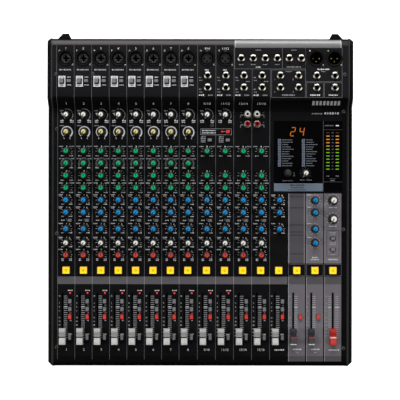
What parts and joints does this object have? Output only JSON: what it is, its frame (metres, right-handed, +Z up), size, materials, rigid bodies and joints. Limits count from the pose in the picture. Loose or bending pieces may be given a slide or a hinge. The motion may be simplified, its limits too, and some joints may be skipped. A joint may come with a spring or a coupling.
{
  "type": "mixing console",
  "caption": "Desktop mixing console: folded steel panel between moulded cheeks, with channel faders, knobs, push switches, display, level meters and rear sockets.",
  "frame": {"origin": "on the desk, under the middle of the console", "axes": "+Y from the operator towards the rear, +X to the operator's right, +Z up"},
  "size_m": [0.444, 0.4834, 0.1299],
  "materials": {
    "textured_black_steel": "fine-textured black powder coat",
    "black_moulding": "smooth satin black moulding",
    "foot_rubber": "matte black rubber",
    "board_laminate": "green solder mask with fitted pots and switches",
    "jack_metal": "nickel-plated sockets and nuts",
    "smoked_window": "polished black acrylic",
    "white_cap": "soft satin moulding",
    "yellow_cap": "soft satin moulding",
    "green_cap": "soft satin moulding",
    "blue_cap": "soft satin moulding",
    "red_cap": "soft satin moulding",
    "grey_cap": "matte moulding with a pale lower half",
    "charcoal_cap": "matte moulding",
    "dark_cap": "gloss-topped black moulding",
    "lit_yellow_cap": "translucent amber, lit from below"
  },
  "bodies": {
    "console": {"bottom_pan": "textured_black_steel", "control_board": "board_laminate", "display_board": "board_laminate", "display_window": "smoked_window", "fader_board": "board_laminate", "foot_front_left": "foot_rubber", "foot_front_right": "foot_rubber", "foot_rear_left": "foot_rubber", "foot_rear_right": "foot_rubber", "jack_board": "jack_metal", "left_cheek": "black_moulding", "mains_inlet": "black_moulding", "power_supply": "board_laminate", "power_switch_body": "black_moulding", "right_cheek": "black_moulding", "top_panel": "textured_black_steel"},
    "button_ch1_aux_pre": {"button_ch1_aux_pre": "charcoal_cap"},
    "button_ch1_group_1_2": {"button_ch1_group_1_2": "charcoal_cap"},
    "button_ch1_group_3_4": {"button_ch1_group_3_4": "charcoal_cap"},
    "button_ch1_listen": {"button_ch1_listen": "charcoal_cap"},
    "button_ch1_low_cut": {"button_ch1_low_cut": "charcoal_cap"},
    "button_ch1_on": {"button_ch1_on": "lit_yellow_cap"},
    "button_ch1_pad": {"button_ch1_pad": "charcoal_cap"},
    "button_ch1_to_stereo": {"button_ch1_to_stereo": "red_cap"},
    "fader_ch1": {"fader_ch1": "grey_cap"},
    "fader_ch11_12": {"fader_ch11_12": "grey_cap"},
    "fader_ch13_14": {"fader_ch13_14": "grey_cap"},
    "fader_ch15_16": {"fader_ch15_16": "grey_cap"},
    "fader_ch2": {"fader_ch2": "grey_cap"},
    "fader_ch3": {"fader_ch3": "grey_cap"},
    "fader_ch4": {"fader_ch4": "grey_cap"},
    "fader_ch5": {"fader_ch5": "grey_cap"},
    "fader_ch6": {"fader_ch6": "grey_cap"},
    "fader_ch7": {"fader_ch7": "grey_cap"},
    "fader_ch8": {"fader_ch8": "grey_cap"},
    "fader_ch9_10": {"fader_ch9_10": "grey_cap"},
    "fader_fx_return": {"fader_fx_return": "grey_cap"},
    "fader_group_1_2": {"fader_group_1_2": "charcoal_cap"},
    "fader_group_3_4": {"fader_group_3_4": "charcoal_cap"},
    "fader_stereo": {"fader_stereo": "red_cap"},
    "knob_ch1_aux1": {"knob_ch1_aux1": "blue_cap"},
    "knob_ch1_aux2": {"knob_ch1_aux2": "blue_cap"},
    "knob_ch1_aux3": {"knob_ch1_aux3": "blue_cap"},
    "knob_ch1_comp": {"knob_ch1_comp": "yellow_cap"},
    "knob_ch1_fx": {"knob_ch1_fx": "white_cap"},
    "knob_ch1_gain": {"knob_ch1_gain": "white_cap"},
    "knob_ch1_high": {"knob_ch1_high": "green_cap"},
    "knob_ch1_low": {"knob_ch1_low": "green_cap"},
    "knob_ch1_mid": {"knob_ch1_mid": "green_cap"},
    "knob_ch1_mid_freq": {"knob_ch1_mid_freq": "green_cap"},
    "knob_ch1_pan": {"knob_ch1_pan": "red_cap"},
    "knob_fx_parameter": {"knob_fx_parameter": "white_cap"},
    "knob_fx_program": {"knob_fx_program": "dark_cap"},
    "knob_monitor_level": {"knob_monitor_level": "white_cap"},
    "knob_phones_level": {"knob_phones_level": "white_cap"},
    "knob_send_aux1": {"knob_send_aux1": "blue_cap"},
    "knob_send_aux2": {"knob_send_aux2": "blue_cap"},
    "knob_send_aux3": {"knob_send_aux3": "blue_cap"},
    "knob_send_fx": {"knob_send_fx": "blue_cap"},
    "power_rocker": {"power_rocker": "black_moulding"}
  },
  "joints": [
    {"name": "button_ch1_aux_pre_press", "type": "slide", "parent": "console", "child": "button_ch1_aux_pre", "axis": [0, 0.1219, -0.9925], "range_m": [0, 0.0016]},
    {"name": "button_ch1_group_1_2_press", "type": "slide", "parent": "console", "child": "button_ch1_group_1_2", "axis": [0, 0.1219, -0.9925], "range_m": [0, 0.0016]},
    {"name": "button_ch1_group_3_4_press", "type": "slide", "parent": "console", "child": "button_ch1_group_3_4", "axis": [0, 0.1219, -0.9925], "range_m": [0, 0.0016]},
    {"name": "button_ch1_listen_press", "type": "slide", "parent": "console", "child": "button_ch1_listen", "axis": [0, 0.1219, -0.9925], "range_m": [0, 0.0016]},
    {"name": "button_ch1_low_cut_press", "type": "slide", "parent": "console", "child": "button_ch1_low_cut", "axis": [0, 0.1219, -0.9925], "range_m": [0, 0.0016]},
    {"name": "button_ch1_on_press", "type": "slide", "parent": "console", "child": "button_ch1_on", "axis": [0, 0.1219, -0.9925], "range_m": [0, 0.0016]},
    {"name": "button_ch1_pad_press", "type": "slide", "parent": "console", "child": "button_ch1_pad", "axis": [0, 0.1219, -0.9925], "range_m": [0, 0.0016]},
    {"name": "button_ch1_to_stereo_press", "type": "slide", "parent": "console", "child": "button_ch1_to_stereo", "axis": [0, 0.1219, -0.9925], "range_m": [0, 0.0016]},
    {"name": "fader_ch1_slide", "type": "slide", "parent": "console", "child": "fader_ch1", "axis": [0, 0.9925, 0.1219], "range_m": [0, 0.06]},
    {"name": "fader_ch11_12_slide", "type": "slide", "parent": "console", "child": "fader_ch11_12", "axis": [0, 0.9925, 0.1219], "range_m": [0, 0.06]},
    {"name": "fader_ch13_14_slide", "type": "slide", "parent": "console", "child": "fader_ch13_14", "axis": [0, 0.9925, 0.1219], "range_m": [0, 0.06]},
    {"name": "fader_ch15_16_slide", "type": "slide", "parent": "console", "child": "fader_ch15_16", "axis": [0, 0.9925, 0.1219], "range_m": [0, 0.06]},
    {"name": "fader_ch2_slide", "type": "slide", "parent": "console", "child": "fader_ch2", "axis": [0, 0.9925, 0.1219], "range_m": [0, 0.06]},
    {"name": "fader_ch3_slide", "type": "slide", "parent": "console", "child": "fader_ch3", "axis": [0, 0.9925, 0.1219], "range_m": [0, 0.06]},
    {"name": "fader_ch4_slide", "type": "slide", "parent": "console", "child": "fader_ch4", "axis": [0, 0.9925, 0.1219], "range_m": [0, 0.06]},
    {"name": "fader_ch5_slide", "type": "slide", "parent": "console", "child": "fader_ch5", "axis": [0, 0.9925, 0.1219], "range_m": [0, 0.06]},
    {"name": "fader_ch6_slide", "type": "slide", "parent": "console", "child": "fader_ch6", "axis": [0, 0.9925, 0.1219], "range_m": [0, 0.06]},
    {"name": "fader_ch7_slide", "type": "slide", "parent": "console", "child": "fader_ch7", "axis": [0, 0.9925, 0.1219], "range_m": [0, 0.06]},
    {"name": "fader_ch8_slide", "type": "slide", "parent": "console", "child": "fader_ch8", "axis": [0, 0.9925, 0.1219], "range_m": [0, 0.06]},
    {"name": "fader_ch9_10_slide", "type": "slide", "parent": "console", "child": "fader_ch9_10", "axis": [0, 0.9925, 0.1219], "range_m": [0, 0.06]},
    {"name": "fader_fx_return_slide", "type": "slide", "parent": "console", "child": "fader_fx_return", "axis": [0, 0.9925, 0.1219], "range_m": [0, 0.06]},
    {"name": "fader_group_1_2_slide", "type": "slide", "parent": "console", "child": "fader_group_1_2", "axis": [0, 0.9925, 0.1219], "range_m": [0, 0.06]},
    {"name": "fader_group_3_4_slide", "type": "slide", "parent": "console", "child": "fader_group_3_4", "axis": [0, 0.9925, 0.1219], "range_m": [0, 0.06]},
    {"name": "fader_stereo_slide", "type": "slide", "parent": "console", "child": "fader_stereo", "axis": [0, 0.9925, 0.1219], "range_m": [0, 0.06]},
    {"name": "knob_ch1_aux1_turn", "type": "hinge", "parent": "console", "child": "knob_ch1_aux1", "pos_m": [-0.1952, -0.00097, 0.08713], "axis": [0, 0.1219, -0.9925], "range_deg": [0, 300]},
    {"name": "knob_ch1_aux2_turn", "type": "hinge", "parent": "console", "child": "knob_ch1_aux2", "pos_m": [-0.1952, -0.0187, 0.08496], "axis": [0, 0.1219, -0.9925], "range_deg": [0, 300]},
    {"name": "knob_ch1_aux3_turn", "type": "hinge", "parent": "console", "child": "knob_ch1_aux3", "pos_m": [-0.1952, -0.04252, 0.08203], "axis": [0, 0.1219, -0.9925], "range_deg": [0, 300]},
    {"name": "knob_ch1_comp_turn", "type": "hinge", "parent": "console", "child": "knob_ch1_comp", "pos_m": [-0.1952, 0.09783, 0.09927], "axis": [0, 0.1219, -0.9925], "range_deg": [0, 300]},
    {"name": "knob_ch1_fx_turn", "type": "hinge", "parent": "console", "child": "knob_ch1_fx", "pos_m": [-0.1952, -0.06267, 0.07956], "axis": [0, 0.1219, -0.9925], "range_deg": [0, 300]},
    {"name": "knob_ch1_gain_turn", "type": "hinge", "parent": "console", "child": "knob_ch1_gain", "pos_m": [-0.1952, 0.12244, 0.10229], "axis": [0, 0.1219, -0.9925], "range_deg": [0, 300]},
    {"name": "knob_ch1_high_turn", "type": "hinge", "parent": "console", "child": "knob_ch1_high", "pos_m": [-0.1952, 0.06994, 0.09584], "axis": [0, 0.1219, -0.9925], "range_deg": [-150, 150]},
    {"name": "knob_ch1_low_turn", "type": "hinge", "parent": "console", "child": "knob_ch1_low", "pos_m": [-0.1952, 0.01676, 0.08931], "axis": [0, 0.1219, -0.9925], "range_deg": [-150, 150]},
    {"name": "knob_ch1_mid_turn", "type": "hinge", "parent": "console", "child": "knob_ch1_mid", "pos_m": [-0.1952, 0.03448, 0.09149], "axis": [0, 0.1219, -0.9925], "range_deg": [-150, 150]},
    {"name": "knob_ch1_mid_freq_turn", "type": "hinge", "parent": "console", "child": "knob_ch1_mid_freq", "pos_m": [-0.1952, 0.05221, 0.09366], "axis": [0, 0.1219, -0.9925], "range_deg": [0, 300]},
    {"name": "knob_ch1_pan_turn", "type": "hinge", "parent": "console", "child": "knob_ch1_pan", "pos_m": [-0.1952, -0.08024, 0.0774], "axis": [0, 0.1219, -0.9925], "range_deg": [-150, 150]},
    {"name": "knob_fx_parameter_turn", "type": "hinge", "parent": "console", "child": "knob_fx_parameter", "pos_m": [0.1537, 0.03837, 0.09197], "axis": [0, 0.1219, -0.9925], "range_deg": [0, 300]},
    {"name": "knob_fx_program_turn", "type": "hinge", "parent": "console", "child": "knob_fx_program", "pos_m": [0.1281, 0.03837, 0.09197], "axis": [0, 0.1219, -0.9925], "continuous": true},
    {"name": "knob_monitor_level_turn", "type": "hinge", "parent": "console", "child": "knob_monitor_level", "pos_m": [0.1941, -0.00097, 0.08713], "axis": [0, 0.1219, -0.9925], "range_deg": [0, 300]},
    {"name": "knob_phones_level_turn", "type": "hinge", "parent": "console", "child": "knob_phones_level", "pos_m": [0.1941, -0.02773, 0.08385], "axis": [0, 0.1219, -0.9925], "range_deg": [0, 300]},
    {"name": "knob_send_aux1_turn", "type": "hinge", "parent": "console", "child": "knob_send_aux1", "pos_m": [0.1677, -0.00097, 0.08713], "axis": [0, 0.1219, -0.9925], "range_deg": [0, 300]},
    {"name": "knob_send_aux2_turn", "type": "hinge", "parent": "console", "child": "knob_send_aux2", "pos_m": [0.1677, -0.0187, 0.08496], "axis": [0, 0.1219, -0.9925], "range_deg": [0, 300]},
    {"name": "knob_send_aux3_turn", "type": "hinge", "parent": "console", "child": "knob_send_aux3", "pos_m": [0.1677, -0.04252, 0.08203], "axis": [0, 0.1219, -0.9925], "range_deg": [0, 300]},
    {"name": "knob_send_fx_turn", "type": "hinge", "parent": "console", "child": "knob_send_fx", "pos_m": [0.1677, -0.06267, 0.07956], "axis": [0, 0.1219, -0.9925], "range_deg": [0, 300]},
    {"name": "power_rocker_tilt", "type": "hinge", "parent": "console", "child": "power_rocker", "pos_m": [-0.105, 0.2301, 0.045], "axis": [1, 0, 0], "range_deg": [0, 16]}
  ]
}
